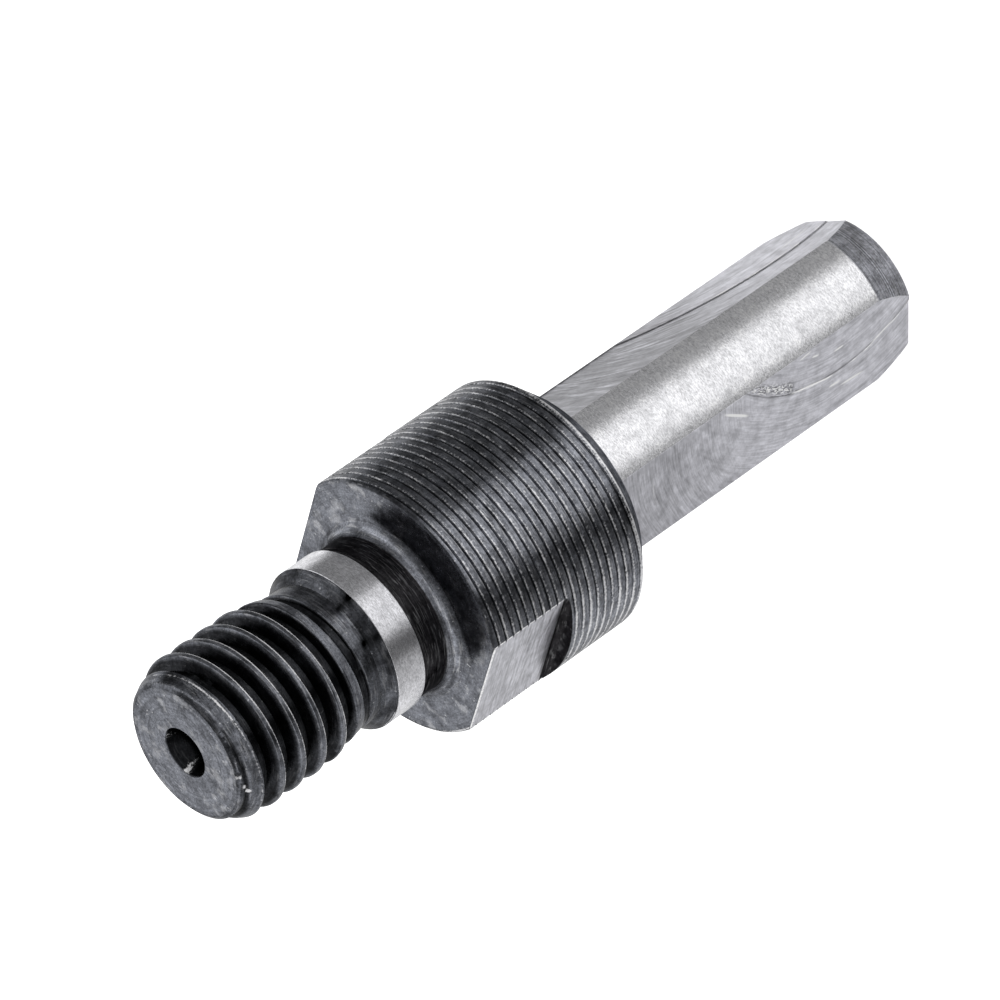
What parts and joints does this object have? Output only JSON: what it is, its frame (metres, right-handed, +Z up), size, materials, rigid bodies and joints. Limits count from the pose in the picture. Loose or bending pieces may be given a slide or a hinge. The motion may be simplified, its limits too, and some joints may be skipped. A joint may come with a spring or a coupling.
{
  "type": "angle grinder adapter",
  "caption": "Turned steel adapter: three-flat drill shank, threaded collar with spanner flats, ground pilot band and a coarse spindle thread.",
  "frame": {"origin": "centre of the shank's flat end, which the adapter stands on", "axes": "+Z up the turning axis towards the spindle thread, +X out of one spanner flat"},
  "size_m": [0.0154, 0.0154, 0.0518],
  "materials": {
    "blackened_steel": "carbon steel, turned and blackened, with the pilot band and shank ground bright and the flats milled bright"
  },
  "bodies": {
    "root": {"adapter_body": "blackened_steel"}
  },
  "joints": []
}
